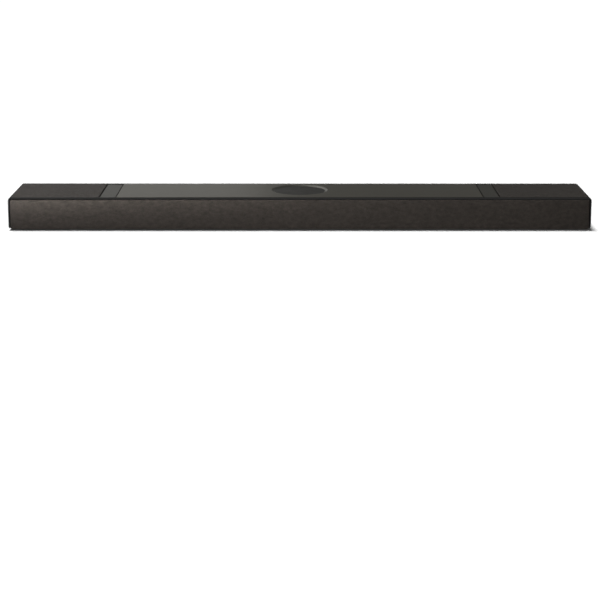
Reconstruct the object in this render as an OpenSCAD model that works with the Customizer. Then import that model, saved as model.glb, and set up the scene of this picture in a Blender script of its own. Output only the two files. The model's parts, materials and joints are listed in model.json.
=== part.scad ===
// Long low soundbar: a cloth-fronted case with a metal centre plate, two recessed bands,
// cloth ends that cover up-firing drivers, and a round touch dish in the middle of the top.
// +X runs along the bar, the front faces -Y, +Z is up, and z = 0 is the underside of the feet.

/* [Overall size] */
// Length of the bar, end cap to end cap
bar_w = 1210; // [1206:1:1216]
// Depth from the front cloth to the rear cover
bar_d = 165; // [164:1:168]
// Height from the table to the top plate
bar_h = 70; // [70:1:74]
// Height of the rubber feet below the case
foot_h = 2.5; // [2:0.5:3]

/* [Case] */
// Thickness of the tray floor and the rear wall
wall = 3; // [2.6:0.2:3]
// Thickness of each end cap's outer plate
cap_t = 2.6; // [2.2:0.2:2.8]
// Shadow gap between the end caps and the cloth
cap_gap = 1.8; // [1.2:0.2:2]
// Radius of the lower corners, seen from the front
low_corner_r = 7.5; // [6:0.5:9]
// Radius of the upper corners, seen from the front
top_corner_r = 8.5; // [6:0.5:9]

/* [Top] */
// Width of the dark rim in front of the plate, the bands and the cloth
rim_w = 3.5; // [3.5:0.1:4.2]
// Radius of the rim's front edge
rim_r = 3; // [2:0.1:3]
// Half length of the metal centre plate
plate_half = 380; // [376:0.1:382]
// Thickness of the metal centre plate
plate_t = 1.6; // [1.2:0.2:1.8]
// Width of each recessed band beside the plate
band_w = 31.9; // [28:0.1:33]
// How far the bands lie below the plate
band_drop = 1; // [0.6:0.2:1.2]
// Open joint between the plate, the bands and the cloth
top_joint = 2.4; // [1:0.1:2.6]
// Outer radius of the dish ring
dish_r = 60; // [58:0.5:62]
// Width of the sloped part of the dish ring
dish_slope_w = 5.3; // [4:0.1:6]
// Depth of the glass below the plate
dish_drop = 2.4; // [2:0.1:2.6]
// Distance of the dish centre behind the middle of the top
dish_y = 6; // [0:1:10]

/* [Front grille] */
// Thickness of the cloth skins
cloth_t = 0.9; // [0.7:0.1:1]
// Depth of the front grille
grille_d = 5.9; // [5.7:0.1:5.9]
// Shadow gap between the grille and the rim
grille_gap = 1.4; // [1:0.1:1.6]

/* [Drivers] */
// Distance of the inner pair of front woofers from the middle
woofer_inner_x = 150; // [146:1:154]
// Distance of the outer pair of front woofers from the middle
woofer_outer_x = 345; // [341:1:349]
// Distance of the inner pair of front full-range drivers from the middle
fullrange_inner_x = 35; // [34:1:38]
// Distance of the outer pair of front full-range drivers from the middle
fullrange_outer_x = 545; // [540:1:550]
// Distance of the up-firing woofers from the middle
top_woofer_x = 455; // [453:1:457]
// Distance of the up-firing full-range drivers from the middle
top_fullrange_x = 530; // [530:1:535]
// Length of the straight sides of a woofer cone
woofer_straight = 96; // [80:1:96]
// Length of the straight sides of an up-firing woofer cone
top_woofer_straight = 70; // [60:1:70]
// Radius of every cone's outer edge
cone_r = 19.2; // [18:0.1:19.2]

/* [Rear bays] */
// Outer end of the signal bay, left of the middle
io_bay_outer_x = -215; // [-218:1:-213]
// Inner end of the signal bay, left of the middle
io_bay_inner_x = -65; // [-67:1:-62]
// Inner end of the power bay, right of the middle
power_bay_inner_x = 95; // [93:1:97]
// Outer end of the power bay, right of the middle
power_bay_outer_x = 195; // [193:1:197]
// Lowest point of both bays
bay_low = 16; // [15:0.5:17]
// Highest point of both bays
bay_high = 57; // [55:0.5:58]

/* [Feet and mounts] */
// Length of each rubber foot
foot_l = 106; // [60:1:106]
// Width of each rubber foot
foot_w = 14; // [8:1:14]
// Distance between the bracket inserts along the bar
insert_span_x = 720; // [710:1:730]
// Distance between the bracket inserts across the bar
insert_span_y = 80; // [76:1:80]
// Radius of the bracket inserts' threaded hole
insert_hole_r = 2; // [1.5:0.5:2.5]

/* [Hidden] */
$fn = 64;

// Colours
case_black = [0.12, 0.12, 0.125];
plate_grey = [0.37, 0.36, 0.34];
band_grey = [0.28, 0.27, 0.255];
cloth_grey = [0.29, 0.27, 0.25];
frame_black = [0.16, 0.16, 0.16];
glass_black = [0.2, 0.2, 0.19];
board_green = [0.1, 0.32, 0.2];
steel = [0.62, 0.62, 0.64];
brass = [0.78, 0.62, 0.3];
cone_black = [0.18, 0.18, 0.19];
rubber = [0.08, 0.08, 0.08];

// Faces of the case
half_w = bar_w / 2;
front = -bar_d / 2;
back = bar_d / 2;
seam_x = half_w - cap_t - 0.1;
cloth_x = half_w - cap_t - cap_gap;
inner_x = half_w - 10;
floor_top = foot_h + wall;
rear_seam = back - wall;
lip_y = rear_seam - 3;

// Ends of the driver pairs and of the rear bays
woofer_x = [woofer_inner_x, woofer_outer_x];
fullrange_x = [fullrange_inner_x, fullrange_outer_x];
io_bay_x = [io_bay_outer_x, io_bay_inner_x];
power_bay_x = [power_bay_inner_x, power_bay_outer_x];
bay_z = [bay_low, bay_high];

// Layers of the top: deck, lower edge of the rim and the cloth frames, front and back of the top sheets
deck_z = [bar_h - 7.5, bar_h - 5];
frame_z = bar_h - 4;
top_front = front + rim_w;
top_back = lip_y - 0.3;
rail_y = [[front + 2, front + 9.5], [lip_y - 6.5, lip_y - 0.5]];
cloth_edge_r = 1;

// Dish: flat lip of its ring, then the glass
ring_lip = 0.7;
glass_r = dish_r - 6.7;
glass_t = 1.6;
glass_z = bar_h - dish_drop;

// Clearance of parts that slide together, and overlap of parts joined in one moulding
slip = 0.2;
weld = 1;

// Front grille and baffle
grille_z = [foot_h + 0.3, frame_z - grille_gap];
grille_back = front + grille_d;
baffle_y = [front + 8.5, front + 11.5];
flange_t = 2.3;
flange_y = baffle_y[0] - flange_t;

// Drivers: every place is [x, y, z, 0 for front or 1 for up-firing]
driver_z = (floor_top + deck_z[0]) / 2;
woofer_places = [
  [-woofer_x[1], flange_y, driver_z, 0], [-woofer_x[0], flange_y, driver_z, 0],
  [woofer_x[0], flange_y, driver_z, 0], [woofer_x[1], flange_y, driver_z, 0],
  [-top_woofer_x, 4, deck_z[0], 1], [top_woofer_x, 4, deck_z[0], 1]
];
fullrange_places = [
  [-fullrange_x[1], flange_y, driver_z, 0], [-fullrange_x[0], flange_y, driver_z, 0],
  [fullrange_x[0], flange_y, driver_z, 0], [fullrange_x[1], flange_y, driver_z, 0],
  [-top_fullrange_x, 30, deck_z[0], 1], [top_fullrange_x, 30, deck_z[0], 1]
];
flange_r = 27;
basket_r = 24.3;
ledge_r = 23;
coil_r = 12.5;
woofer_basket_h = 17;
fullrange_basket_h = 14;
screw_inset = 5;
top_screw_seat = 1.7;

// Boards, bays and sockets
board_z = 18.4;
board_top = board_z + 1.6;
board_y = [-25, 43.8];
bay_wall = 2;
bay_face = 46;
bay_y = [bay_face - bay_wall, rear_seam];
hdmi_x = [-190, -164];
usb_x = -142;
optical_x = -120;
ethernet_x = -94;
reset_x = -76;
inlet_x = (power_bay_x[0] + power_bay_x[1]) / 2;
inlet_z = 36.5;
shutter_axis_z = board_top + 8.3;
shutter_axis_y = bay_face - 0.9;

// Posts that join the deck to the tray, mirrored to both sides
post_places = [[70, -33], [247, -33], [400, -33], [490, -42], [40, 73], [247, 73], [400, 73], [500, 73]];
cap_boss_places = [[half_w - 15, -60], [half_w - 15, 60]];
rear_screw_x = [20, 300, 560];
rear_screw_z = 11;
post_r = 3.5;
foot_places = [[529, -68], [529, 56]];

// Bracket inserts, centred a little behind the middle of the case
insert_y = 20;
insert_r = 3.15;
insert_places = [for (x = [-1, 1], y = [-1, 1]) [x * insert_span_x / 2, insert_y + y * insert_span_y / 2]];

// Rectangle with its own radius at each corner, counted round from the low corner
module soft_rect(low, high, r) {
  polygon([
    [low[0] + r[0], low[1]], [high[0] - r[1], low[1]], [high[0], low[1] + r[1]], [high[0], high[1] - r[2]],
    [high[0] - r[2], high[1]], [low[0] + r[3], high[1]], [low[0], high[1] - r[3]], [low[0], low[1] + r[0]]
  ]);
  translate([low[0] + r[0], low[1] + r[0]]) circle(r[0]);
  translate([high[0] - r[1], low[1] + r[1]]) circle(r[1]);
  translate([high[0] - r[2], high[1] - r[2]]) circle(r[2]);
  translate([low[0] + r[3], high[1] - r[3]]) circle(r[3]);
}

// Stretches of a flat outline: (y, z) along X, (x, z) along Y, (x, y) along Z
module along_x(from, to) translate([from, 0, 0]) rotate([90, 0, 90]) linear_extrude(to - from) children();
module along_y(from, to) translate([0, to, 0]) rotate([90, 0, 0]) linear_extrude(to - from) children();
module along_z(from, to) translate([0, 0, from]) linear_extrude(to - from) children();

// Box from its lowest corner to its highest
module block(low, high) translate(low) cube(high - low);

// Round hole or pin along Z
module rod(at, r, from, to) translate([at[0], at[1], from]) cylinder(r = r, h = to - from);

// Round hole or pin along Y
module rod_y(x, z, r, from, to) translate([x, to, z]) rotate([90, 0, 0]) cylinder(r = r, h = to - from);

// The child at each place, and again mirrored to the other half of the bar
module both_sides(places) {
  for (place = places, side = [-1, 1]) translate([side * place[0], place[1], 0]) children();
}

// Outer form of the whole case, optionally shrunk by an inset
function corner(r, inset) = max(0.3, r - inset);
module envelope(inset = 0) {
  low_r = corner(low_corner_r, inset);
  high_r = corner(top_corner_r, inset);
  rear_r = corner(1.5, inset);
  intersection() {
    along_x(-half_w + inset, half_w - inset)
      soft_rect([front + inset, foot_h + inset], [back - inset, bar_h - inset],
                [corner(4, inset), corner(6, inset), rear_r, corner(rim_r, inset)]);
    along_y(front + inset, back - inset)
      soft_rect([-half_w + inset, foot_h + inset], [half_w - inset, bar_h - inset],
                [low_r, low_r, high_r, high_r]);
    along_z(foot_h + inset, bar_h - inset)
      soft_rect([-half_w + inset, front + inset], [half_w - inset, back - inset],
                [corner(2.5, inset), corner(2.5, inset), corner(3, inset), corner(3, inset)]);
  }
}

// Outline of the cloth ends seen from the end of the bar: flat top and soft front edge, shrunk by an inset
module cloth_outline(inset, low_z) intersection() {
  soft_rect([top_front + inset, low_z - 5], [top_back - inset, bar_h - inset],
            [0.2, 0.2, 0.4, corner(cloth_edge_r, inset)]);
  translate([front - 1, low_z]) square([bar_d, bar_h - low_z + 1]);
}

// Outline of the flat metal sheets seen from the end of the bar, their top a given drop below the top
module sheet_outline(drop)
  soft_rect([top_front, bar_h - drop - plate_t], [top_back, bar_h - drop], [0.2, 0.2, 0.4, 0.4]);

// Sweeps an outline of (radius, height) round a stadium with straight sides of the given length
module racetrack(straight) {
  if (straight == 0) rotate_extrude() children();
  else {
    for (side = [-1, 1])
      translate([side * straight / 2, 0, 0]) rotate([0, 0, side * 90 - 180])
        rotate_extrude(angle = 180) children();
    for (side = [0, 1]) mirror([0, side, 0]) along_x(-straight / 2, straight / 2) children();
  }
}

// Solid stadium along Z with its straight sides along X
module stadium(straight, r, from, to) along_z(from, to) {
  if (straight > 0) square([straight, 2 * r], center = true);
  for (side = [-1, 1]) translate([side * straight / 2, 0]) circle(r);
}

// Puts a driver with its long side along X and its front along +Z at a place on the front or the top
module driver_at(place) {
  translate([place[0], place[1], place[2]])
    rotate(place[3] == 0 ? [90, 0, 0] : [0, 0, 90]) children();
}

function straight_of(place) = place[3] == 0 ? woofer_straight : top_woofer_straight;

// Screw with a round head and a cross recess, head up, its seat at z = 0
module screw(head_r, head_h, shank_r, shank_l) {
  difference() {
    rotate_extrude() polygon([
      [0, -shank_l], [shank_r, -shank_l], [shank_r, 0], [head_r, 0],
      [head_r, head_h * 0.6], [head_r * 0.8, head_h], [0, head_h]
    ]);
    for (turn = [0, 90]) rotate([0, 0, turn])
      block([-head_r * 0.6, -head_r * 0.12, head_h * 0.4], [head_r * 0.6, head_r * 0.12, head_h + 1]);
  }
}

// ---- Case ----

module bottom_tray() color(case_black) difference() {
  union() {
    intersection() {
      envelope();
      along_x(-seam_x, seam_x) translate([grille_back + slip, 0])
        square([rear_seam - grille_back - 2 * slip, floor_top]);
    }
    // Stiffening ribs
    for (x = [-540, -480, 345, 480, 540]) block([x - 1, -30, floor_top - 1], [x + 1, 68, floor_top + 4]);
    // Stand-offs under the boards
    for (x = [-322, -200, -68, -38, 72, 103, 200, 312], y = [board_y[0] + 6, 28])
      rod([x, y], 3, floor_top - 1, board_z);
    // Bosses for the bracket inserts and the rear screws
    for (place = insert_places) rod(place, 7, floor_top - 1, floor_top + 7);
    for (x = rear_screw_x, side = [-1, 1]) {
      rod_y(side * x, rear_screw_z, 3.5, rear_seam - 10, rear_seam);
      block([side * x - 3.5, rear_seam - 10, floor_top - 1], [side * x + 3.5, rear_seam - 0.2, rear_screw_z]);
    }
  }
  both_sides(concat(post_places, cap_boss_places)) {
    rod([0, 0], 3.3, 0, foot_h + 1.8);
    rod([0, 0], 1.7, 0, floor_top + 1);
  }
  both_sides(foot_places) stadium(foot_l - foot_w, foot_w / 2, 0, foot_h + 1);
  for (place = insert_places) rod(place, insert_r + 0.05, 0, floor_top + 6);
  for (x = rear_screw_x, side = [-1, 1]) rod_y(side * x, rear_screw_z, 1.6, rear_seam - 9, rear_seam + 1);
}

// Walls of the sealed chambers behind the front woofers
module chamber_walls() color(case_black) {
  block([-425, -39, floor_top], [425, -37, deck_z[0]]);
  for (x = [-424, -247, -69, 69, 247, 424]) block([x - 1, baffle_y[1], floor_top], [x + 1, -38, deck_z[0]]);
}

module rear_cover() color(case_black) difference() {
  intersection() {
    envelope();
    along_x(-seam_x, seam_x) polygon([
      [lip_y, bar_h - 3], [lip_y, bar_h + 1], [back + 1, bar_h + 1],
      [back + 1, 0], [rear_seam, 0], [rear_seam, bar_h - 3]
    ]);
  }
  for (bay_x = [io_bay_x, power_bay_x]) bay_outline(bay_x, bay_wall, rear_seam - 1, back + 1);
  // Cooling slots behind the amplifier
  for (x = [-42:9:75]) along_y(rear_seam - 1, back + 1)
    soft_rect([x - 1.5, bay_z[0] + 6], [x + 1.5, bay_z[1] - 6], [1.4, 1.4, 1.4, 1.4]);
  for (x = rear_screw_x, side = [-1, 1]) {
    rod_y(side * x, rear_screw_z, 1.7, rear_seam - 1, back + 1);
    rod_y(side * x, rear_screw_z, 3.3, back - 1.7, back + 1);
  }
}

// Rounded inside of a bay, shrunk by an inset
module bay_outline(bay_x, inset, from, to) {
  r = 5 - inset;
  along_y(from, to)
    soft_rect([bay_x[0] + inset, bay_z[0] + inset], [bay_x[1] - inset, bay_z[1] - inset], [r, r, r, r]);
}

// Open tub behind the rear cover, with a rim that seals against it
module bay_tub(bay_x) difference() {
  union() {
    bay_outline(bay_x, 0, bay_y[0], bay_y[1]);
    bay_outline(bay_x, -2, bay_y[1] - 2, bay_y[1]);
  }
  bay_outline(bay_x, bay_wall, bay_face, bay_y[1] + 1);
}

module io_bay() color(case_black) difference() {
  bay_tub(io_bay_x);
  for (x = hdmi_x) block([x - 7.7, bay_y[0] - 1, board_top - 0.2], [x + 7.7, bay_face + 1, board_top + 5.8]);
  block([usb_x - 4.7, bay_y[0] - 1, board_top - 0.2], [usb_x + 4.7, bay_face + 1, board_top + 3.5]);
  block([optical_x - 5.4, bay_y[0] - 1, board_top - 0.2], [optical_x + 5.4, bay_face + 1, board_top + 10.8]);
  block([ethernet_x - 8.2, bay_y[0] - 1, board_top - 0.2],
        [ethernet_x + 8.2, bay_face + 1, board_top + 13.8]);
  rod_y(reset_x, board_top + 4, 2, bay_y[0] - 1, bay_face + 1);
}

module power_bay() color(case_black) difference() {
  bay_tub(power_bay_x);
  block([inlet_x - 11.7, bay_y[0] - 1, inlet_z - 7.2], [inlet_x + 11.7, bay_face + 1, inlet_z + 7.2]);
}

module front_baffle() color(frame_black) difference() {
  block([-inner_x, baffle_y[0], floor_top], [inner_x, baffle_y[1], deck_z[0]]);
  for (place = woofer_places) if (place[3] == 0)
    driver_at(place) driver_opening(woofer_straight, basket_r + 0.3, 1.05);
  for (place = fullrange_places) if (place[3] == 0)
    driver_at(place) driver_opening(0, basket_r + 0.3, 1.05);
}

// Hole for a driver and its four screws, along the driver's own axis
module driver_opening(straight, r, screw_r) {
  stadium(straight, r, -10, 10);
  driver_screw_places(straight) rod([0, 0], screw_r, -10, 10);
}

// Hole in the deck over an up-firing driver, with sunk screw heads
module deck_opening(straight) {
  driver_opening(straight, 22.5, 1.3);
  driver_screw_places(straight) rod([0, 0], 2.4, top_screw_seat, 10);
}

module driver_screw_places(straight) {
  for (x = [-1, 1], y = [-1, 1])
    translate([x * (straight / 2 + flange_r - screw_inset), y * (flange_r - screw_inset), 0]) children();
}

module top_deck() color(case_black) difference() {
  union() {
    block([-inner_x, grille_back + 0.4, deck_z[0]], [inner_x, rear_seam - 0.2, deck_z[1]]);
    // Rim in front of the top sheets, with a foot that joins the front rail
    intersection() {
      envelope(slip);
      block([-cloth_x, front, frame_z], [cloth_x, top_front - slip, bar_h]);
    }
    block([-cloth_x, rail_y[0][0], deck_z[1]], [cloth_x, top_front - slip, frame_z + weld]);
    // Rails that carry the plate, the bands and the cloth frames
    for (y = rail_y) {
      block([-plate_half, y[0], deck_z[1]], [plate_half, y[1], bar_h - plate_t]);
      for (side = [-1, 1]) {
        top_zone(side, plate_half, plate_half + top_joint + band_w + top_joint,
                 y, [deck_z[1], bar_h - band_drop - plate_t]);
        top_zone(side, plate_half + band_w + 2 * top_joint, inner_x, y, [deck_z[1], frame_z]);
      }
    }
    both_sides(post_places) rod([0, 0], post_r, floor_top, deck_z[0] + 1);
  }
  both_sides(post_places) rod([0, 0], 1.6, floor_top - 1, floor_top + 18);
  for (place = woofer_places) if (place[3] == 1) driver_at(place) deck_opening(top_woofer_straight);
  for (place = fullrange_places) if (place[3] == 1) driver_at(place) deck_opening(0);
  rod([0, dish_y], 46, deck_z[0] - 1, deck_z[1] + 1);
  rod([0, dish_y], 49.3, deck_z[0] + 0.7, deck_z[1] + 1);
}

// Box on one side of the bar, from one distance from the middle to another
module top_zone(side, from, to, y, z)
  block([side > 0 ? from : -to, y[0], z[0]], [side > 0 ? to : -from, y[1], z[1]]);

module end_cap(side) color(case_black) mirror([side > 0 ? 0 : 1, 0, 0]) {
  difference() {
    union() {
      intersection() {
        envelope();
        block([half_w - cap_t, front - 1, 0], [half_w + 1, back + 1, bar_h + 1]);
      }
      // Rim that slides inside the case
      difference() {
        block([half_w - 9, -72, floor_top + 0.7], [half_w - cap_t, 78.5, deck_z[0] - 0.7]);
        block([half_w - 10, -70, floor_top + 2.7], [half_w - cap_t, 76.5, deck_z[0] - 2.7]);
      }
      for (place = cap_boss_places) {
        rod(place, 4, floor_top, floor_top + 17);
        block([place[0], place[1] - 1, floor_top + 1], [half_w - cap_t, place[1] + 1, floor_top + 17]);
      }
    }
    for (place = cap_boss_places) rod(place, 1.6, floor_top - 1, floor_top + 15);
  }
}

// ---- Front grille ----

// Block of the front grille with soft front edges, shrunk by an inset
module grille_block(inset) {
  low = [-cloth_x + inset, front + inset];
  high = [cloth_x - inset, grille_back];
  edge = corner(2.2, inset);
  intersection() {
    along_x(-cloth_x + inset, cloth_x - inset)
      soft_rect([front + inset, grille_z[0] + inset], [grille_back + 5, grille_z[1] - inset],
                [edge, 0.3, 0.3, edge]);
    along_z(grille_z[0], grille_z[1]) soft_rect(low, high, [edge, edge, 0.2, 0.2]);
    along_y(front, grille_back)
      soft_rect([low[0], grille_z[0] + inset], [high[0], grille_z[1] - inset],
                [corner(5, inset), corner(5, inset), edge, edge]);
  }
}

module front_grille_fabric() color(cloth_grey) difference() {
  grille_block(0);
  translate([0, 0.01, 0]) grille_block(cloth_t);
}

module front_grille_frame() color(frame_black) difference() {
  grille_block(cloth_t + 0.01);
  for (cell = [[-596, -471.5], [-466.5, -249.5], [-245.5, -71], [-66, 66],
               [71, 245.5], [249.5, 466.5], [471.5, 596]]) {
    // Deep part of each cell, behind the thin bars
    block([cell[0], front + cloth_t + 1.6, grille_z[0] + 5], [cell[1], grille_back + 1, grille_z[1] - 4.5]);
    // Three open strips between two thin bars
    for (strip = [[5, 19.5], [21.5, 37.5], [39.5, grille_z[1] - grille_z[0] - 4.5]])
      block([cell[0], front - 1, grille_z[0] + strip[0]], [cell[1], grille_back, grille_z[0] + strip[1]]);
  }
}

// ---- Top ----

module top_plate() color(plate_grey) difference() {
  along_x(-plate_half, plate_half) sheet_outline(0);
  rod([0, dish_y], dish_r + 0.15, frame_z - 1, bar_h + 1);
}

module trim_band(side) color(band_grey) {
  from = plate_half + top_joint;
  along_x(side > 0 ? from : -from - band_w, side > 0 ? from + band_w : -from) sheet_outline(band_drop);
}

// Block of one cloth end of the top, shrunk by an inset
module top_cloth_block(side, inset, low_z) intersection() {
  from = plate_half + band_w + 2 * top_joint + inset;
  to = cloth_x - inset;
  along_x(side > 0 ? from : -to, side > 0 ? to : -from) cloth_outline(inset, low_z);
  envelope(inset);
}

module top_fabric(side) color(cloth_grey) difference() {
  top_cloth_block(side, 0, frame_z);
  top_cloth_block(side, cloth_t, frame_z - 2);
}

module top_grille_frame(side) color(frame_black) difference() {
  top_cloth_block(side, cloth_t + 0.01, frame_z);
  for (place = woofer_places) if (place[3] == 1) driver_at(place) stadium(top_woofer_straight, 25, -1, 20);
  for (place = fullrange_places) if (place[3] == 1) driver_at(place) stadium(0, 25, -1, 20);
  // Lightening windows in the free corners
  for (window = [[496, -64, 590, -52], [496, -46, 590, -34], [496, -28, 590, -16], [568, 6, 590, 54]])
    top_zone(side, window[0], window[2], [window[1], window[3]], [frame_z - 2, bar_h + 1]);
}

module control_ring() color(band_grey) translate([0, dish_y, 0]) rotate_extrude() polygon([
  [dish_r - 9.5, deck_z[1]], [dish_r, deck_z[1]], [dish_r, bar_h - 0.3], [dish_r - 0.3, bar_h],
  [dish_r - ring_lip, bar_h], [dish_r - ring_lip - dish_slope_w, glass_z + 0.3],
  [glass_r + 0.1, glass_z + 0.3], [glass_r + 0.1, glass_z - glass_t], [dish_r - 9.5, glass_z - glass_t]
]);

module touch_glass() color(glass_black) rod([0, dish_y], glass_r, glass_z - glass_t, glass_z);

module light_guide() color("white") translate([0, dish_y, 0]) rotate_extrude() polygon([
  [40, deck_z[1] - 0.2], [48.5, deck_z[1] - 0.2], [48.5, glass_z - glass_t - 0.1],
  [44, glass_z - glass_t - 0.1], [43, deck_z[1] + 0.3], [40, deck_z[1] + 0.3]
]);

module touch_board() color(board_green) difference() {
  union() {
    rod([0, dish_y], 49, deck_z[0] + 0.7, deck_z[0] + 2.3);
    for (turn = [0:60:300]) translate([0, dish_y, 0]) rotate([0, 0, turn])
      block([30, -2, deck_z[0] - 0.6], [34, 2, deck_z[0] + 1]);
    block([-12, dish_y - 6, deck_z[0] - 0.8], [12, dish_y + 6, deck_z[0] + 1]);
  }
  for (turn = [45:90:315]) rod([25 * cos(turn), dish_y + 25 * sin(turn)], 1.6, deck_z[0] - 2, deck_z[1]);
}

// ---- Electronics ----

// Circuit board with a mounting hole near each corner
module board(x, y) difference() {
  block([x[0], y[0], board_z], [x[1], y[1], board_top]);
  for (hole_x = [x[0] + 8, x[1] - 8]) rod([hole_x, y[0] + 6], 1.6, board_z - 1, board_top + 1);
}

module main_board() color(board_green) {
  board([-330, -60], board_y);
  // Processor can, memory, wireless module, regulators and the reset switch
  block([-260, -12, board_top], [-222, 22, board_top + 3]);
  for (x = [-212, -196]) block([x, -6, board_top], [x + 12, 4, board_top + 1.2]);
  block([-310, -8, board_top], [-284, 20, board_top + 2.6]);
  for (x = [-160:12:-112]) rod([x, -8], 4, board_top, board_top + 9);
  for (x = [-100, -84]) block([x, -16, board_top], [x + 10, -6, board_top + 4]);
  block([reset_x - 3, bay_y[0] - 9, board_top], [reset_x + 3, bay_y[0] - 5.2, board_top + 7]);
}

module amplifier_board() color(board_green) {
  board([-46, 80], [board_y[0], 60]);
  for (x = [-28, 0, 28]) block([x, -4, board_top], [x + 18, 14, board_top + 2]);
  for (x = [-38:13:72]) rod([x, 50], 4.5, board_top, board_top + 14);
}

module heat_sink() color(steel) {
  block([-34, -10, board_top + 2], [62, 34, board_top + 6]);
  for (x = [-34:8:54]) block([x, -10, board_top + 5], [x + 2, 34, board_top + 26]);
}

module power_supply() color(board_green) {
  board([95, 320], board_y);
  // Transformer, bulk capacitors, filter coil and rectifiers
  block([190, -18, board_top], [226, 18, board_top + 28]);
  block([184, -10, board_top], [232, 10, board_top + 20]);
  for (x = [248, 270, 292]) rod([x, 0], 9, board_top, board_top + 30);
  rod([150, 0], 12, board_top, board_top + 16);
  for (x = [112, 124]) block([x, -20, board_top], [x + 4, -2, board_top + 18]);
}

module hdmi_sockets() color(steel) for (x = hdmi_x) translate([x, 0, board_top]) {
  difference() {
    block([-7.5, 33, 0], [7.5, bay_face, 5.6]);
    block([-7, 36, 1.4], [7, bay_face + 1, 5.1]);
    block([-5.6, 36, 0.5], [5.6, bay_face + 1, 2]);
  }
  block([-5.8, 35, 2.8], [5.8, bay_face - 1.5, 3.8]);
}

module usb_socket() color(steel) translate([usb_x, 0, board_top]) {
  difference() {
    along_y(36, bay_face) soft_rect([-4.5, 0], [4.5, 3.3], [1.6, 1.6, 1.6, 1.6]);
    along_y(38, bay_face + 1) soft_rect([-4.2, 0.3], [4.2, 3], [1.3, 1.3, 1.3, 1.3]);
  }
  block([-3.4, 37, 1.3], [3.4, bay_face - 1, 2]);
}

module optical_socket() color(frame_black) difference() {
  block([optical_x - 5.2, 32, board_top], [optical_x + 5.2, bay_face, board_top + 10.6]);
  block([optical_x - 4.2, 36.5, board_top + 1], [optical_x + 4.2, bay_face + 1, board_top + 9.2]);
  translate([optical_x, shutter_axis_y, shutter_axis_z]) rotate([0, 90, 0])
    cylinder(r = 0.66, h = 9.6, center = true);
}

module optical_shutter() color(cone_black) {
  translate([optical_x, shutter_axis_y, shutter_axis_z]) rotate([0, 90, 0])
    cylinder(r = 0.6, h = 9.2, center = true);
  block([optical_x - 3.9, shutter_axis_y - 0.4, board_top + 1.3],
        [optical_x + 3.9, shutter_axis_y + 0.4, shutter_axis_z]);
}

module ethernet_socket() color(steel) difference() {
  block([ethernet_x - 8, 32, board_top], [ethernet_x + 8, bay_face, board_top + 13.6]);
  block([ethernet_x - 5.9, 35.5, board_top + 3], [ethernet_x + 5.9, bay_face + 1, board_top + 10.2]);
  block([ethernet_x - 3.2, 35.5, board_top + 1.4], [ethernet_x + 3.2, bay_face + 1, board_top + 4]);
}

module reset_button() color(rubber) {
  rod_y(reset_x, board_top + 4, 1.7, bay_y[0] - 4, bay_face);
  rod_y(reset_x, board_top + 4, 2.8, bay_y[0] - 1.6, bay_y[0] - 0.1);
}

module mains_inlet() color(frame_black) difference() {
  union() {
    block([inlet_x - 11.5, 30, inlet_z - 7], [inlet_x + 11.5, bay_face, inlet_z + 7]);
    block([inlet_x - 6, 30, board_top], [inlet_x + 6, 42, inlet_z]);
  }
  translate([inlet_x, bay_face, inlet_z]) rotate([-90, 0, 0]) stadium(8.6, 4.3, -11, 1);
  for (x = [-4.3, 4.3]) rod_y(inlet_x + x, inlet_z, 1.2, 29, bay_face);
}

module inlet_pins() color(brass) for (x = [-4.3, 4.3])
  translate([inlet_x + x, 0, inlet_z]) rotate([-90, 0, 0]) rotate_extrude()
    polygon([[0, 28], [1.18, 28], [1.18, bay_face - 2.4], [0.7, bay_face - 1.6], [0, bay_face - 1.6]]);

module remote_sensor() color(frame_black) {
  block([-6, baffle_y[0] - 1.2, driver_z + 8], [6, baffle_y[0], driver_z + 26]);
  rod_y(0, driver_z + 20, 2.6, baffle_y[0] - 2.2, baffle_y[0] - 1);
  block([-3, baffle_y[0] - 2.2, driver_z + 10], [3, baffle_y[0] - 1, driver_z + 15]);
}

module antenna_boards() color(board_green) for (side = [-1, 1])
  block([side * 572 - 12, rear_seam - 1.4, 26], [side * 572 + 12, rear_seam - 0.4, 44]);

// ---- Drivers, each in a frame with its front at z = 0 and its long side along X ----

module basket(straight, depth) difference() {
  union() {
    along_z(-flange_t, 0)
      soft_rect([-straight / 2 - flange_r, -flange_r], [straight / 2 + flange_r, flange_r], [5, 5, 5, 5]);
    stadium(straight, basket_r, -depth, -flange_t / 2);
  }
  stadium(straight, ledge_r + 1, -flange_t, 1);
  stadium(straight, ledge_r, -depth + 1.5, 1);
  rod([0, 0], coil_r + 1.5, -depth - 1, 1);
  driver_screw_places(straight) {
    rod([0, 0], 2.4, -1.5, 1);
    rod([0, 0], 1.3, -flange_t - 1, 1);
  }
  // Air windows through the wall
  for (x = [-straight / 2:24:straight / 2])
    block([x - 8, -basket_r - 1, -depth + 3], [x + 8, basket_r + 1, -flange_t - 1.5]);
}

// Pole piece, magnet ring and plates as one turned part with the gap for the coil
module magnet(magnet_r, front_z, gap_z, back_z) rotate_extrude() polygon([
  [0, front_z], [coil_r - 0.7, front_z], [coil_r - 0.7, gap_z], [coil_r + 0.8, gap_z],
  [coil_r + 0.8, front_z], [magnet_r, front_z], [magnet_r, back_z + 1], [magnet_r - 1, back_z], [0, back_z]
]);

// Half roll that dips inward, with a flat edge that sits on the basket's ledge
module surround(straight) racetrack(straight) {
  translate([ledge_r - 0.6, -flange_t]) square([1.5, 0.8]);
  translate([ledge_r - 1.55, -flange_t + 0.8]) intersection() {
    difference() {
      circle(1.5);
      circle(0.9);
    }
    translate([-3, -3]) square([6, 3]);
  }
}

module spider() rotate_extrude() polygon([
  [13.5, 0], [15, 0], [15.8, 0.5], [16.6, 0], [17.4, 0.5], [18.2, 0], [19.8, 0],
  [19.8, 0.6], [18.4, 0.6], [17.4, 1.1], [16.6, 0.6], [15.8, 1.1], [14.8, 0.6], [13.5, 0.6]
]);

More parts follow.
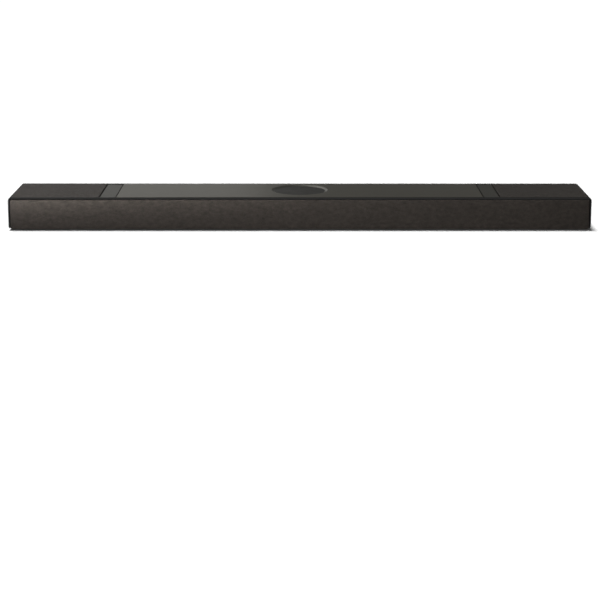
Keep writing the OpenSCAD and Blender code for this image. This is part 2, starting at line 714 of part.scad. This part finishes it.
// Cone with a crowned middle and the tube that carries the coil
module cone(straight, crown, tube_l) {
  racetrack(straight) polygon([
    [0, -9], [14, -9], [cone_r, -2.2], [cone_r, -1.2], [14.3, -7.9], [9.5, -7.9],
    [8, -9 + crown * 0.6], [4.5, -9 + crown * 0.9], [0, -9 + crown]
  ]);
  difference() {
    rod([0, 0], coil_r + 0.3, -9 - tube_l, -8.5);
    rod([0, 0], coil_r - 0.3, -10 - tube_l, -9.2);
  }
}

module woofer_baskets() color(frame_black)
  for (place = woofer_places) driver_at(place) basket(straight_of(place), woofer_basket_h);
module woofer_magnets() color(steel)
  for (place = woofer_places) driver_at(place) magnet(20, -woofer_basket_h, -30, -33);
module woofer_surrounds() color(rubber)
  for (place = woofer_places) driver_at(place) surround(straight_of(place));
module woofer_spiders() color(brass)
  for (place = woofer_places) driver_at(place) translate([0, 0, -woofer_basket_h + 1.5]) spider();
module woofer_cone(i) color(cone_black)
  driver_at(woofer_places[i]) cone(straight_of(woofer_places[i]), 4.4, 14);

module fullrange_baskets() color(frame_black)
  for (place = fullrange_places) driver_at(place) basket(0, fullrange_basket_h);
module fullrange_magnets() color(steel)
  for (place = fullrange_places) driver_at(place) magnet(17, -fullrange_basket_h, -24, -27);
module fullrange_surrounds() color(rubber)
  for (place = fullrange_places) driver_at(place) surround(0);
module fullrange_cone(i) color(cone_black) driver_at(fullrange_places[i]) cone(0, 6, 11);

// ---- Feet, inserts and screws ----

module feet() color(rubber) both_sides(foot_places) racetrack(foot_l - foot_w) polygon([
  [0, 0], [foot_w / 2 - 0.9, 0], [foot_w / 2 - 0.1, 0.8], [foot_w / 2 - 0.1, foot_h + 1], [0, foot_h + 1]
]);

module mount_inserts() color(brass) for (place = insert_places) difference() {
  rod(place, insert_r, foot_h + 0.4, floor_top + 5.5);
  rod(place, insert_hole_r, foot_h - 1, floor_top + 7);
}

module case_screws() color(steel) {
  both_sides(concat(post_places, cap_boss_places))
    translate([0, 0, foot_h + 1.8]) rotate([180, 0, 0]) screw(3, 1.6, 1.5, 14);
  for (x = rear_screw_x, side = [-1, 1])
    translate([side * x, back - 1.7, rear_screw_z]) rotate([-90, 0, 0]) screw(3, 1.2, 1.5, 9);
}

module driver_screws() color(steel) {
  for (place = woofer_places) driver_at(place)
    driver_screw_places(straight_of(place)) driver_screw(place);
  for (place = fullrange_places) driver_at(place) driver_screw_places(0) driver_screw(place);
}

// Front screws sit in the flange; up-firing drivers hang from screws on top of the deck
module driver_screw(place)
  translate([0, 0, place[3] == 0 ? -1.5 : top_screw_seat]) rotate_extrude()
    polygon([[0, -5.6], [1, -5.6], [1, 0], [2.2, 0], [2.2, 0.8], [1.6, 1.3], [0, 1.3]]);

bottom_tray();
chamber_walls();
rear_cover();
io_bay();
power_bay();
front_baffle();
top_deck();
front_grille_frame();
front_grille_fabric();
top_plate();
trim_band(-1);  // trim_band_left
trim_band(1);  // trim_band_right
top_grille_frame(-1);  // top_grille_frame_left
top_grille_frame(1);  // top_grille_frame_right
top_fabric(-1);  // top_fabric_left
top_fabric(1);  // top_fabric_right
end_cap(-1);  // end_cap_left
end_cap(1);  // end_cap_right
control_ring();
touch_glass();
light_guide();
touch_board();
main_board();
amplifier_board();
heat_sink();
power_supply();
hdmi_sockets();
usb_socket();
optical_socket();
optical_shutter();
ethernet_socket();
reset_button();
mains_inlet();
inlet_pins();
remote_sensor();
antenna_boards();
feet();
mount_inserts();
case_screws();
driver_screws();
woofer_baskets();
woofer_magnets();
woofer_surrounds();
woofer_spiders();
fullrange_baskets();
fullrange_magnets();
fullrange_surrounds();
woofer_cone(0);  // woofer_cone_front_1
woofer_cone(1);  // woofer_cone_front_2
woofer_cone(2);  // woofer_cone_front_3
woofer_cone(3);  // woofer_cone_front_4
woofer_cone(4);  // woofer_cone_top_left
woofer_cone(5);  // woofer_cone_top_right
fullrange_cone(0);  // fullrange_cone_front_1
fullrange_cone(1);  // fullrange_cone_front_2
fullrange_cone(2);  // fullrange_cone_front_3
fullrange_cone(3);  // fullrange_cone_front_4
fullrange_cone(4);  // fullrange_cone_top_left
fullrange_cone(5);  // fullrange_cone_top_right
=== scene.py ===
"""Visual model of the soundbar: finishes for every part, three stretched cloth covers and a plain studio.

Lengths are metres. +X runs along the bar, the cloth front faces -Y and +Z is up.
"""
import json
import math

import bmesh
import bpy
from mathutils import Matrix, Vector


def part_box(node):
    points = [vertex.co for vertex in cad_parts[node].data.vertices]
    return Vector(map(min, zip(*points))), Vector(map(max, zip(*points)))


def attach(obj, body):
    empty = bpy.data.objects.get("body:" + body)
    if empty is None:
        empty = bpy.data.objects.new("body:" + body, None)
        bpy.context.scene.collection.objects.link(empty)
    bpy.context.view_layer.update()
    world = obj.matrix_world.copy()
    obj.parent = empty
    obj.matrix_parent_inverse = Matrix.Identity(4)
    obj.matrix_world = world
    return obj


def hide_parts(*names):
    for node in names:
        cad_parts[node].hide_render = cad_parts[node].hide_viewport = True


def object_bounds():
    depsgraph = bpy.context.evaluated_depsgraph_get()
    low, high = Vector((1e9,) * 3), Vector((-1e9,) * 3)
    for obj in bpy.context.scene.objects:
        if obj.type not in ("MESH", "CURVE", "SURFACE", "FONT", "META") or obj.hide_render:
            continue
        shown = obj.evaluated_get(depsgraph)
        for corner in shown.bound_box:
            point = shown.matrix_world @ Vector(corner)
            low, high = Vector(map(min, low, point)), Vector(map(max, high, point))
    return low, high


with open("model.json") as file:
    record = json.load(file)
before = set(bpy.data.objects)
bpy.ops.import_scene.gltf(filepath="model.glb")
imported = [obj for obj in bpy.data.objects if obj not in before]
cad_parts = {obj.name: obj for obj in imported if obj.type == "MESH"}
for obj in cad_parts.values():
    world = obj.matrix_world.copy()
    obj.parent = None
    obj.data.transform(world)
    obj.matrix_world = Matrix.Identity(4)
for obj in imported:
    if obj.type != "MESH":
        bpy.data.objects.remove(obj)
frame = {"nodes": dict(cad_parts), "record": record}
cad_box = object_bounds()

MM = 0.001
nodes = frame["nodes"]
centre = (cad_box[0] + cad_box[1]) / 2

# ---- Camera ----

# A long lens a little above the bar. The shift puts the bar in the upper part of the frame
PITCH = math.radians(11.1)
DISTANCE = 3.45
LENS = 97.5
SHIFT = (0.0005, -0.156)

camera_data = bpy.data.cameras.new("camera")
camera_data.lens = LENS
camera_data.shift_x, camera_data.shift_y = SHIFT
camera = bpy.data.objects.new("camera", camera_data)
camera.location = centre + Vector((0, -math.cos(PITCH), math.sin(PITCH))) * DISTANCE
camera.rotation_euler = (math.pi / 2 - PITCH, 0, 0)
bpy.context.scene.collection.objects.link(camera)
bpy.context.scene.camera = camera
bpy.context.scene.view_settings.view_transform = "Standard"

# ---- Studio ----

BACKDROP = 1.2
SKY = 0.17
SKY_COLOR = (1, 0.985, 0.94, 1)
HORIZON_BLUR = 0.03
FLOOR_HALF = 20.0
FLOOR_GREY = 0.2
FLOOR_GLOW = 0.02

ENDS = ["end_cap_left", "end_cap_right"]
REAR = [
    "rear_cover", "io_bay", "power_bay", "hdmi_sockets", "usb_socket", "optical_socket", "optical_shutter",
    "ethernet_socket", "reset_button", "mains_inlet", "inlet_pins", "case_screws",
]
UNDERSIDE = ["bottom_tray", "feet", "mount_inserts", "case_screws", "rear_cover"]


def link(tree, source, target):
    tree.links.new(source, target)


def make_world():
    """White to the camera; for lighting, an even sky with black below the horizon."""
    world = bpy.data.worlds.new("studio")
    world.use_nodes = True
    tree = world.node_tree
    tree.nodes.clear()
    out = tree.nodes.new("ShaderNodeOutputWorld")
    mix = tree.nodes.new("ShaderNodeMixShader")
    path = tree.nodes.new("ShaderNodeLightPath")
    white = tree.nodes.new("ShaderNodeBackground")
    white.inputs["Color"].default_value = (1, 1, 1, 1)
    white.inputs["Strength"].default_value = BACKDROP
    sky = tree.nodes.new("ShaderNodeBackground")
    sky.inputs["Color"].default_value = SKY_COLOR
    direction = tree.nodes.new("ShaderNodeTexCoord")
    split = tree.nodes.new("ShaderNodeSeparateXYZ")
    ramp = tree.nodes.new("ShaderNodeMapRange")
    ramp.inputs["From Min"].default_value = -HORIZON_BLUR
    ramp.inputs["From Max"].default_value = HORIZON_BLUR
    ramp.inputs["To Max"].default_value = SKY
    link(tree, direction.outputs["Generated"], split.inputs["Vector"])
    link(tree, split.outputs["Z"], ramp.inputs["Value"])
    link(tree, ramp.outputs["Result"], sky.inputs["Strength"])
    link(tree, path.outputs["Is Camera Ray"], mix.inputs["Fac"])
    link(tree, sky.outputs["Background"], mix.inputs[1])
    link(tree, white.outputs["Background"], mix.inputs[2])
    link(tree, mix.outputs["Shader"], out.inputs["Surface"])
    bpy.context.scene.world = world


def make_floor():
    """Pale floor under the feet, clear from below. It takes the bar's contact shadow and lights nothing."""
    mesh = bpy.data.meshes.new("floor")
    corners = [(-1, -1), (1, -1), (1, 1), (-1, 1)]
    mesh.from_pydata([(x * FLOOR_HALF, y * FLOOR_HALF, 0) for x, y in corners], [], [(0, 1, 2, 3)])
    floor = bpy.data.objects.new("floor", mesh)
    bpy.context.scene.collection.objects.link(floor)
    material = bpy.data.materials.new("floor")
    material.use_nodes = True
    tree = material.node_tree
    tree.nodes.clear()
    paper = tree.nodes.new("ShaderNodeBsdfDiffuse")
    paper.inputs["Color"].default_value = (FLOOR_GREY, FLOOR_GREY, FLOOR_GREY, 1)
    glow = tree.nodes.new("ShaderNodeEmission")
    glow.inputs["Strength"].default_value = FLOOR_GLOW
    both = tree.nodes.new("ShaderNodeAddShader")
    clear = tree.nodes.new("ShaderNodeBsdfTransparent")
    side = tree.nodes.new("ShaderNodeNewGeometry")
    mix = tree.nodes.new("ShaderNodeMixShader")
    out = tree.nodes.new("ShaderNodeOutputMaterial")
    link(tree, paper.outputs["BSDF"], both.inputs[0])
    link(tree, glow.outputs["Emission"], both.inputs[1])
    link(tree, side.outputs["Backfacing"], mix.inputs["Fac"])
    link(tree, both.outputs["Shader"], mix.inputs[1])
    link(tree, clear.outputs["BSDF"], mix.inputs[2])
    link(tree, mix.outputs["Shader"], out.inputs["Surface"])
    mesh.materials.append(material)
    floor.visible_diffuse = False
    floor.visible_glossy = False
    floor.visible_shadow = False
    return floor


def light_only(name, targets):
    """Keep a lamp's light to some objects."""
    lit = bpy.data.collections.new("lit_by_" + name)
    for target in targets:
        lit.objects.link(target)
    bpy.data.objects[name].light_linking.receiver_collection = lit


def floor_lamp(floor, toward, spread, brightness):
    """Broad sun that lights the floor alone, so that the floor is white whatever the bar's own lamps do."""
    lamp = bpy.data.lights.new("floor_lamp", "SUN")
    lamp.energy = brightness * math.pi / FLOOR_GREY
    lamp.angle = math.radians(spread)
    light = bpy.data.objects.new("floor_lamp", lamp)
    light.rotation_mode = "QUATERNION"
    light.rotation_quaternion = Vector(toward).to_track_quat("Z", "Y")
    bpy.context.scene.collection.objects.link(light)
    light_only("floor_lamp", [floor])


def softbox(name, place, aim, size, power):
    """Rectangular lamp at a place, facing the aim, that doesn't show to the camera."""
    lamp = bpy.data.lights.new(name, "AREA")
    lamp.shape = "RECTANGLE"
    lamp.size, lamp.size_y = size
    lamp.energy = power
    light = bpy.data.objects.new(name, lamp)
    light.location = place
    light.rotation_mode = "QUATERNION"
    light.rotation_quaternion = (Vector(aim) - Vector(place)).to_track_quat("-Z", "Y")
    light.visible_camera = False
    bpy.context.scene.collection.objects.link(light)


def strip(name, start, end, aim, width, power):
    """Long narrow lamp between two points, facing the aim."""
    start, end = Vector(start), Vector(end)
    softbox(name, (start + end) / 2, aim, ((end - start).length, width), power)
    light = bpy.data.objects[name]
    along = (end - start).normalized()
    away = (light.location - Vector(aim)).normalized()
    away = (away - away.dot(along) * along).normalized()
    turn = Matrix((along, away.cross(along), away)).transposed()
    light.rotation_quaternion = turn.to_quaternion()


make_world()

# Lamps of the front view. The strips graze the cloth front from near its top edge, closest at the left end
floor_lamp(make_floor(), toward=(-0.14, 0.09, 1), spread=16, brightness=1.02)
softbox("overhead_left", (-1.1, -0.2, 1.3), (-0.3, 0, 0.05), (0.9, 0.7), 8)
softbox("back_left", (-1.12, 2.0, 0.6), (-0.2, 0, 0.07), (2.2, 0.9), 2.4)
softbox("front_fill", (0.2, -2.6, 0.9), (0, 0, 0.03), (2.0, 1.2), 15)
strip("front_strip_left", (-0.72, -0.11, 0.06), (-0.10, -0.14, 0.091), (-0.41, -0.08, 0.07), 0.02, 0.2)
strip("front_strip_right", (-0.10, -0.14, 0.091), (0.60, -0.245, 0.185), (0.25, -0.08, 0.09), 0.02, 0.22)

# Glint on the far slope of the dish's ring
softbox("ring_glint", (-0.32, 0.72, 0.75), (0, 0, 0.07), (0.6, 0.4), 1.6)
light_only("ring_glint", [nodes["control_ring"]])

# Lamps for the rear, the ends and the underside, which the front view doesn't show
softbox("rear_fill", (0.5, 2.4, 0.9), (0, 0.08, 0.03), (2.4, 1.0), 60)
light_only("rear_fill", [nodes[name] for name in REAR + ENDS])
softbox("end_fill_left", (-2.4, 0.5, 0.7), (-0.6, 0, 0.03), (1.2, 1.0), 25)
light_only("end_fill_left", [nodes["end_cap_left"]])
softbox("end_fill_right", (2.4, 0.5, 0.7), (0.6, 0, 0.03), (1.2, 1.0), 25)
light_only("end_fill_right", [nodes["end_cap_right"]])
softbox("under_fill", (0.3, -0.4, -2.0), (0, 0, 0), (2.4, 1.6), 60)
light_only("under_fill", [nodes[name] for name in UNDERSIDE + ENDS])

# ---- Finishes ----


class Surface:
    """A Principled material under construction, with short names for the nodes that it needs."""

    def __init__(self, name, color, roughness, metallic=0.0, specular=0.5):
        self.material = bpy.data.materials.new(name)
        self.material.use_nodes = True
        self.tree = self.material.node_tree
        self.shader = self.tree.nodes["Principled BSDF"]
        self.color = color
        self.roughness = roughness
        self.shader.inputs["Metallic"].default_value = metallic
        self.shader.inputs["Specular IOR Level"].default_value = specular
        self.place = self.tree.nodes.new("ShaderNodeTexCoord").outputs["Object"]

    def new(self, kind, **settings):
        """New node with its properties set."""
        node = self.tree.nodes.new(kind)
        for key, value in settings.items():
            setattr(node, key, value)
        return node

    def stretched(self, scale):
        """Coordinates scaled by (x, y, z)."""
        node = self.new("ShaderNodeMapping")
        node.inputs["Scale"].default_value = scale
        link(self.tree, self.place, node.inputs["Vector"])
        return node.outputs["Vector"]

    def noise(self, size, detail=3.0, source=None, rough=0.55):
        """Noise from 0 to 1 whose blotches are about size metres across."""
        node = self.new("ShaderNodeTexNoise")
        node.inputs["Scale"].default_value = 1 / size
        node.inputs["Detail"].default_value = detail
        node.inputs["Roughness"].default_value = rough
        link(self.tree, source or self.place, node.inputs["Vector"])
        return node.outputs["Fac"]

    def math(self, operation, a, b=None):
        """One sum on numbers or sockets."""
        node = self.new("ShaderNodeMath", operation=operation)
        for socket, value in zip(node.inputs, (a, b)):
            if value is None:
                continue
            if isinstance(value, (int, float)):
                socket.default_value = value
            else:
                link(self.tree, value, socket)
        return node.outputs["Value"]

    def spread(self, factor, low, high):
        """The factor's middle range, 0.3 to 0.7, mapped to low..high."""
        node = self.new("ShaderNodeMapRange")
        node.inputs["From Min"].default_value = 0.3
        node.inputs["From Max"].default_value = 0.7
        node.inputs["To Min"].default_value = low
        node.inputs["To Max"].default_value = high
        link(self.tree, factor, node.inputs["Value"])
        return node.outputs["Result"]

    def vary_color(self, factor, dark, light):
        """Base colour between dark and light times its own, by the factor."""
        node = self.new("ShaderNodeMix", data_type="RGBA")
        for socket, gain in ((node.inputs[6], dark), (node.inputs[7], light)):
            socket.default_value = (*[min(1.0, c * gain) for c in self.color], 1)
        link(self.tree, self.spread(factor, 0, 1), node.inputs[0])
        self.set_color(node.outputs[2])

    def set_color(self, socket):
        link(self.tree, socket, self.shader.inputs["Base Color"])

    def vary_roughness(self, factor, amount):
        """Roughness up to that amount either side of its own, by the factor."""
        socket = self.spread(factor, self.roughness - amount, self.roughness + amount)
        link(self.tree, socket, self.shader.inputs["Roughness"])

    def bump(self, height, depth, after=None):
        """Relief of that depth in metres. Reliefs chain through after."""
        node = self.new("ShaderNodeBump")
        node.inputs["Strength"].default_value = 1
        node.inputs["Distance"].default_value = depth
        link(self.tree, height, node.inputs["Height"])
        if after:
            link(self.tree, after, node.inputs["Normal"])
        link(self.tree, node.outputs["Normal"], self.shader.inputs["Normal"])
        return node.outputs["Normal"]


def moulded(name, color, roughness, grain, depth, variation=0.12):
    """Plastic or rubber with a fine moulded grain and faint larger patches."""
    s = Surface(name, color, roughness)
    patches = s.noise(45 * MM)
    fine = s.noise(grain, detail=2)
    s.vary_color(patches, 1 - variation, 1 + variation)
    s.vary_roughness(fine, 0.06)
    s.bump(fine, depth)
    return s.material


def plated(name, color, roughness):
    """Bare or plated metal with faint stains and small scratches."""
    s = Surface(name, color, roughness, metallic=1.0)
    stains = s.noise(9 * MM)
    scratches = s.noise(0.8 * MM, source=s.stretched((0.15, 1, 1)))
    s.vary_color(stains, 0.92, 1.08)
    s.vary_roughness(scratches, 0.08)
    s.bump(scratches, 0.01 * MM)
    return s.material


def brushed(name, color, roughness, metallic):
    """Dark anodised sheet with fine hairlines along the bar."""
    s = Surface(name, color, roughness, metallic=metallic)
    hairlines = s.noise(0.5 * MM, detail=2, source=s.stretched((0.02, 1, 1)))
    cloudy = s.noise(60 * MM, detail=2)
    s.vary_color(cloudy, 0.97, 1.03)
    s.vary_roughness(hairlines, 0.04)
    s.bump(hairlines, 0.006 * MM)
    return s.material


THREAD_PITCH = 1.3 * MM


def woven(name, color):
    """Melange cloth: dark and light yarns, two thread directions and a little fuzz."""
    s = Surface(name, color, 0.95, specular=0.2)
    s.shader.inputs["Sheen Weight"].default_value = 0.05
    s.shader.inputs["Sheen Roughness"].default_value = 0.5
    flat = s.new("ShaderNodeUVMap").outputs["UV"]
    split = s.new("ShaderNodeSeparateXYZ")
    link(s.tree, flat, split.inputs["Vector"])
    waves = []
    for axis in ("X", "Y"):
        turns = s.math("MULTIPLY", split.outputs[axis], 2 * math.pi / THREAD_PITCH)
        waves.append(s.math("SINE", turns))
    weave = s.math("MULTIPLY", waves[0], waves[1])
    blotches = s.noise(10 * MM, detail=4, rough=0.75, source=s.stretched((1, 1, 1.6)))
    speckle = s.noise(1.8 * MM, detail=2, rough=0.6)
    blend = s.math("ADD", s.math("MULTIPLY", blotches, 0.65), s.math("MULTIPLY", speckle, 0.35))
    threads = s.math("ADD", blend, s.math("MULTIPLY", weave, 0.035))
    s.vary_color(threads, 0.55, 1.45)
    s.bump(weave, 0.3 * MM, after=s.bump(speckle, 0.25 * MM))
    return s.material


def smoked_glass(name, color):
    """Dark matt-coated glass."""
    s = Surface(name, color, 0.42, specular=0.3)
    haze = s.noise(25 * MM)
    s.vary_color(haze, 0.92, 1.08)
    s.vary_roughness(haze, 0.04)
    return s.material


def circuit(name, color):
    """Solder mask with paler copper traces under it."""
    s = Surface(name, color, 0.35)
    traces = s.new("ShaderNodeTexBrick")
    traces.inputs["Scale"].default_value = 1 / (6 * MM)
    traces.inputs["Mortar Size"].default_value = 0.06
    traces.inputs["Color1"].default_value = (*color, 1)
    traces.inputs["Color2"].default_value = (*[c * 0.8 for c in color], 1)
    traces.inputs["Mortar"].default_value = (*[min(1, c * 2.2) for c in color], 1)
    link(s.tree, s.place, traces.inputs["Vector"])
    s.set_color(traces.outputs["Color"])
    s.vary_roughness(s.noise(8 * MM), 0.05)
    s.bump(traces.outputs["Fac"], 0.04 * MM)
    return s.material


FINISHES = {
    "case_plastic": moulded("case_plastic", (0.024, 0.024, 0.024), 0.55, 0.7 * MM, 0.03 * MM),
    "frame_plastic": moulded("frame_plastic", (0.03, 0.03, 0.03), 0.6, 1.2 * MM, 0.02 * MM),
    "plate_metal": brushed("plate_metal", (0.157, 0.149, 0.12), 0.38, 0.9),
    "band_metal": brushed("band_metal", (0.108, 0.105, 0.09), 0.42, 0.9),
    "cloth": woven("cloth", (0.0755, 0.0641, 0.0556)),
    "dark_glass": smoked_glass("dark_glass", (0.024, 0.024, 0.021)),
    "light_plastic": moulded("light_plastic", (0.8, 0.8, 0.78), 0.5, 2 * MM, 0.01 * MM, 0.03),
    "board": circuit("board", (0.02, 0.11, 0.05)),
    "heat_sink_metal": plated("heat_sink_metal", (0.5, 0.5, 0.51), 0.4),
    "socket_steel": plated("socket_steel", (0.6, 0.6, 0.62), 0.28),
    "connector_plastic": moulded("connector_plastic", (0.02, 0.02, 0.02), 0.45, 0.5 * MM, 0.01 * MM),
    "button_rubber": moulded("button_rubber", (0.03, 0.03, 0.03), 0.8, 0.3 * MM, 0.01 * MM),
    "contact_brass": plated("contact_brass", (0.7, 0.52, 0.22), 0.3),
    "foot_rubber": moulded("foot_rubber", (0.022, 0.022, 0.022), 0.85, 0.5 * MM, 0.03 * MM),
    "screw_steel": plated("screw_steel", (0.12, 0.12, 0.125), 0.42),
    "basket_steel": moulded("basket_steel", (0.03, 0.03, 0.03), 0.4, 1.5 * MM, 0.02 * MM),
    "magnet_steel": plated("magnet_steel", (0.42, 0.42, 0.44), 0.35),
    "surround_rubber": moulded("surround_rubber", (0.02, 0.02, 0.02), 0.6, 0.6 * MM, 0.01 * MM),
    "spider_cloth": moulded("spider_cloth", (0.4, 0.26, 0.1), 0.9, 0.9 * MM, 0.1 * MM, 0.2),
    "cone_pulp": moulded("cone_pulp", (0.035, 0.035, 0.038), 0.75, 1.6 * MM, 0.08 * MM, 0.2),
}

for part in frame["record"]["subparts"]:
    for slot in nodes[part["node"]].material_slots:
        slot.material = FINISHES[part["material_slot"]]

# ---- Eased edges ----

JOIN_WITHIN = 0.005 * MM
SHARPER_THAN = math.radians(50)


def ease_edges(name, radius):
    """Small rounded edges that catch the light on a hard part."""
    weld = nodes[name].modifiers.new("weld", "WELD")
    weld.merge_threshold = JOIN_WITHIN
    bevel = nodes[name].modifiers.new("eased_edges", "BEVEL")
    bevel.width = radius
    bevel.segments = 2
    bevel.angle_limit = SHARPER_THAN
    bevel.use_clamp_overlap = True


for name in ("top_plate", "trim_band_left", "trim_band_right", "control_ring"):
    ease_edges(name, 0.3 * MM)
for name in ("end_cap_left", "end_cap_right", "rear_cover"):
    ease_edges(name, 0.4 * MM)

# ---- Cloth covers ----

CLOTH = 0.8 * MM
TIGHT_FOLD = 1 * MM
SOFT_FOLD = 2.2 * MM
OUTER_FOLD = 3.2 * MM
LOW_CORNER = 5 * MM
TOP_CORNER = 1.5 * MM
BORDER = 2 * MM
ARC_STEPS = 5
CELL = 12 * MM


def rounded_outline(low, high, radii, counts):
    """Points round a rectangle from its low corner along +u, with an arc at each corner.

    counts are the numbers of steps along u and along v.
    """
    (u0, v0), (u1, v1) = low, high
    arcs = [
        ((u1 - radii[1], v0 + radii[1]), radii[1], -0.5),
        ((u1 - radii[2], v1 - radii[2]), radii[2], 0.0),
        ((u0 + radii[3], v1 - radii[3]), radii[3], 0.5),
        ((u0 + radii[0], v0 + radii[0]), radii[0], 1.0),
    ]
    points = []
    start = Vector((u0 + radii[0], v0))
    for side, (middle, r, turn) in enumerate(arcs):
        angle = turn * math.pi
        end = Vector(middle) + Vector((math.cos(angle), math.sin(angle))) * r
        count = counts[side % 2]
        points += [start.lerp(end, i / count) for i in range(count)]
        for i in range(ARC_STEPS):
            a = angle + i / ARC_STEPS * math.pi / 2
            points.append(Vector(middle) + Vector((math.cos(a), math.sin(a))) * r)
        a = angle + math.pi / 2
        start = Vector(middle) + Vector((math.cos(a), math.sin(a))) * r
    return points


def side_weights(values, counts):
    """One value for each outline point: the side's own, changing to the next side's round each corner."""
    result = []
    for side in range(4):
        result += [values[side]] * counts[side % 2]
        following = values[(side + 1) % 4]
        result += [values[side] + (following - values[side]) * i / ARC_STEPS for i in range(ARC_STEPS)]
    return result


class Cover:
    """Cloth over a shallow box: a flat face from low to high with a hem on all four sides.

    folds are the fold radii of the four sides and corners the radii in the face's plane, both counted from
    the low side round. place turns (u, v, distance behind the face) into a point.
    """

    def __init__(self, low, high, folds, corners, place):
        self.low = low
        self.high = high
        self.folds = folds
        self.corners = corners
        self.place = place
        self.size = (high[0] - low[0], high[1] - low[1])
        self.counts = [max(2, round(length / CELL)) for length in self.size]
        self.margin = max(*corners, *folds) + BORDER
        self.mesh = bmesh.new()
        self.uv_layer = self.mesh.loops.layers.uv.new("flat")
        self.flat_of = {}

    def vert(self, u, v, behind, flat):
        """New vertex that remembers its place in the flat pattern."""
        vert = self.mesh.verts.new(self.place(u, v, behind))
        self.flat_of[vert] = flat
        return vert

    def outline(self, insets):
        """The face's outline with each side moved in by its inset."""
        low = (self.low[0] + insets[3], self.low[1] + insets[0])
        high = (self.high[0] - insets[1], self.high[1] - insets[2])
        radii = [max(0.0, self.corners[i] - (insets[i] + insets[i - 1]) / 2) for i in range(4)]
        return rounded_outline(low, high, radii, self.counts)

    def ring(self, insets, depths, pattern_insets):
        """Closed row of vertices at each side's depth behind the face."""
        levels = side_weights(depths, self.counts)
        rows = zip(self.outline(insets), levels, self.outline(pattern_insets))
        return [self.vert(point.x, point.y, level, flat) for point, level, flat in rows]

    def add_hems(self, depth):
        """Rings from the hem's edge at that depth, round the folds and on to a margin inside the face."""
        rings = []
        for level in (depth, depth / 2):
            pattern_insets = [f - (level - f + f * math.pi / 2) for f in self.folds]
            rings.append(self.ring([0] * 4, [level] * 4, pattern_insets))
        for i in range(ARC_STEPS + 1):
            angle = i / ARC_STEPS * math.pi / 2
            insets = [f * (1 - math.cos(angle)) for f in self.folds]
            levels = [f * (1 - math.sin(angle)) for f in self.folds]
            pattern_insets = [f - f * (math.pi / 2 - angle) for f in self.folds]
            rings.append(self.ring(insets, levels, pattern_insets))
        rings.append(self.ring([self.margin] * 4, [0] * 4, [self.margin] * 4))
        for outer, inner in zip(rings, rings[1:]):
            for i in range(len(outer)):
                j = (i + 1) % len(outer)
                self.mesh.faces.new((outer[i], outer[j], inner[j], inner[i]))

    def add_face(self):
        """Grid that fills the face inside the margin."""
        along, across = self.counts
        width, length = [side - 2 * self.margin for side in self.size]
        grid = []
        for i in range(along + 1):
            u = self.low[0] + self.margin + width * i / along
            rows = [self.low[1] + self.margin + length * j / across for j in range(across + 1)]
            grid.append([self.vert(u, v, 0, Vector((u, v))) for v in rows])
        for i in range(along):
            for j in range(across):
                self.mesh.faces.new((grid[i][j], grid[i + 1][j], grid[i + 1][j + 1], grid[i][j + 1]))

    def to_object(self, name):
        """Join the parts, turn them outward and give the sheet its thickness behind its outer side."""
        mesh = self.mesh
        for face in mesh.faces:
            face.smooth = True
            for loop in face.loops:
                loop[self.uv_layer].uv = self.flat_of[loop.vert]
        bmesh.ops.remove_doubles(mesh, verts=mesh.verts, dist=0.01 * MM)
        bmesh.ops.dissolve_degenerate(mesh, edges=mesh.edges, dist=0.001 * MM)
        bmesh.ops.recalc_face_normals(mesh, faces=mesh.faces)
        outward = self.place(0, 0, 0) - self.place(0, 0, 1)
        if sum(face.normal.dot(outward) * face.calc_area() for face in mesh.faces) < 0:
            bmesh.ops.reverse_faces(mesh, faces=mesh.faces)
        data = bpy.data.meshes.new(name)
        mesh.to_mesh(data)
        mesh.free()
        data.materials.append(FINISHES["cloth"])
        cover = bpy.data.objects.new(name, data)
        bpy.context.scene.collection.objects.link(cover)
        skin = cover.modifiers.new("thickness", "SOLIDIFY")
        skin.thickness = CLOTH
        skin.offset = -1
        return cover


def stretched_cover(name, node, low, high, depth, folds, corners, place):
    """Cloth in place of a CAD node, stretched over its frame, with hems of that depth."""
    cloth = Cover(low, high, folds, corners, place)
    cloth.add_hems(depth)
    cloth.add_face()
    cover = cloth.to_object(name)
    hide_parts(node)
    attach(cover, "case")
    return cover


front_low, front_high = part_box("front_grille_fabric")
front_cover = stretched_cover(
    "front_grille_cover", "front_grille_fabric",
    (front_low.x, front_low.z), (front_high.x, front_high.z), front_high.y - front_low.y,
    folds=[TIGHT_FOLD, SOFT_FOLD, SOFT_FOLD, SOFT_FOLD],
    corners=[LOW_CORNER, LOW_CORNER, SOFT_FOLD, SOFT_FOLD],
    place=lambda u, v, behind: Vector((u, front_low.y + behind, v)),
)
for name in ("front_strip_left", "front_strip_right"):
    light_only(name, [front_cover, nodes["bottom_tray"]] + [nodes[end] for end in ENDS])
for side, outer in (("left", 3), ("right", 1)):
    top_low, top_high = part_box("top_fabric_" + side)
    stretched_cover(
        "top_cover_" + side, "top_fabric_" + side,
        (top_low.x, top_low.y), (top_high.x, top_high.y), top_high.z - top_low.z,
        folds=[OUTER_FOLD if i == outer else TIGHT_FOLD for i in range(4)],
        corners=[TOP_CORNER] * 4,
        place=lambda u, v, behind: Vector((u, v, top_high.z - behind)),
    )
